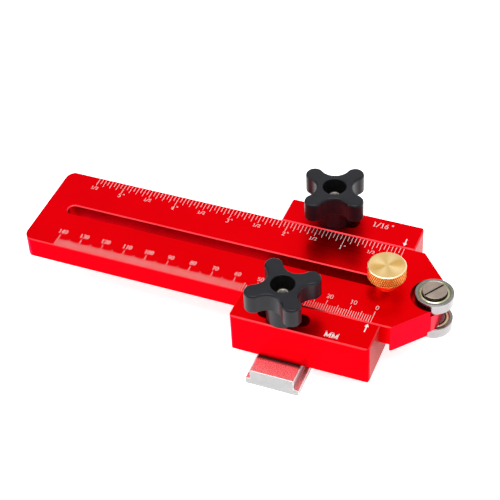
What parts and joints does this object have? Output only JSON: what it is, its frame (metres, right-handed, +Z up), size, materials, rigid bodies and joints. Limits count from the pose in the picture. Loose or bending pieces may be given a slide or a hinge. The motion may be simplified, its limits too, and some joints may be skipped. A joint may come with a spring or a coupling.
{
  "type": "thin rip jig",
  "caption": "Thin rip jig for a table saw: a graduated slide bar with ball-bearing rollers at its tip, set in a base clamped to a mitre bar by lobed knobs.",
  "frame": {"origin": "on the underside of the base, which is the saw table's surface in use, on the mitre bar's centre line and midway between the two knob bolts", "axes": "+X along the slide bar towards the rollers, +Y along the mitre bar, +Z up"},
  "size_m": [0.1822, 0.0928, 0.0451],
  "materials": {
    "red_anodised_base": "red anodised, satin",
    "red_anodised_bar": "red anodised, satin, white engraved scales",
    "blasted_aluminium": "bead blasted, bare",
    "zinc_steel": "bright zinc",
    "black_plastic": "moulded, fine grain",
    "insert_brass": "turned",
    "thumb_brass": "knurled side, radially turned top",
    "bearing_steel": "ground",
    "ball_steel": "polished",
    "cage_steel": "pressed",
    "shield_steel": "pressed, lightly yellowed",
    "screw_steel": "turned, slotted"
  },
  "bodies": {
    "base": {"base": "red_anodised_base"},
    "slide_bar": {"slide_bar": "red_anodised_bar", "upper_inner_ring": "bearing_steel", "upper_axle_screw": "screw_steel", "upper_washer": "bearing_steel", "lower_inner_ring": "bearing_steel", "lower_axle_screw": "screw_steel", "lower_washer": "bearing_steel"},
    "upper_roller": {"upper_outer_ring": "bearing_steel", "upper_top_shield": "shield_steel", "upper_bottom_shield": "shield_steel"},
    "upper_ball_set": {"upper_balls": "ball_steel", "upper_cage": "cage_steel"},
    "lower_roller": {"lower_outer_ring": "bearing_steel", "lower_top_shield": "shield_steel", "lower_bottom_shield": "shield_steel"},
    "lower_ball_set": {"lower_balls": "ball_steel", "lower_cage": "cage_steel"},
    "runner": {"mitre_bar": "blasted_aluminium", "front_bolt": "zinc_steel", "rear_bolt": "zinc_steel"},
    "front_knob": {"front_knob": "black_plastic", "front_knob_insert": "insert_brass"},
    "rear_knob": {"rear_knob": "black_plastic", "rear_knob_insert": "insert_brass"},
    "thumb_screw": {"thumb_screw": "thumb_brass"}
  },
  "joints": [
    {"name": "bar_slide", "type": "slide", "parent": "base", "child": "slide_bar", "axis": [1, 0, 0], "range_m": [-0.001, 0.141]},
    {"name": "runner_adjust", "type": "slide", "parent": "base", "child": "runner", "axis": [1, 0, 0], "range_m": [-0.0078, 0.0078]},
    {"name": "front_knob_turn", "type": "hinge", "parent": "runner", "child": "front_knob", "pos_m": [0, -0.03075, 0.01905], "axis": [0, 0, 1], "range_deg": [0, 405]},
    {"name": "rear_knob_turn", "type": "hinge", "parent": "runner", "child": "rear_knob", "pos_m": [0, 0.03075, 0.01905], "axis": [0, 0, 1], "range_deg": [0, 405]},
    {"name": "thumb_screw_turn", "type": "hinge", "parent": "base", "child": "thumb_screw", "pos_m": [0.0329, 0, 0.01905], "axis": [0, 0, 1], "range_deg": [0, 540]},
    {"name": "upper_roller_spin", "type": "hinge", "parent": "slide_bar", "child": "upper_roller", "pos_m": [0.053, 0, 0.019], "axis": [0, 0, 1], "continuous": true},
    {"name": "upper_ball_orbit", "type": "hinge", "parent": "slide_bar", "child": "upper_ball_set", "pos_m": [0.053, 0, 0.019], "axis": [0, 0, 1], "continuous": true},
    {"name": "lower_roller_spin", "type": "hinge", "parent": "slide_bar", "child": "lower_roller", "pos_m": [0.053, 0, 0.005], "axis": [0, 0, 1], "continuous": true},
    {"name": "lower_ball_orbit", "type": "hinge", "parent": "slide_bar", "child": "lower_ball_set", "pos_m": [0.053, 0, 0.005], "axis": [0, 0, 1], "continuous": true}
  ],
  "couplings": [
    {"joint": "upper_ball_orbit", "follows": "upper_roller_spin", "ratio": 0.6065},
    {"joint": "lower_ball_orbit", "follows": "lower_roller_spin", "ratio": 0.6065}
  ]
}
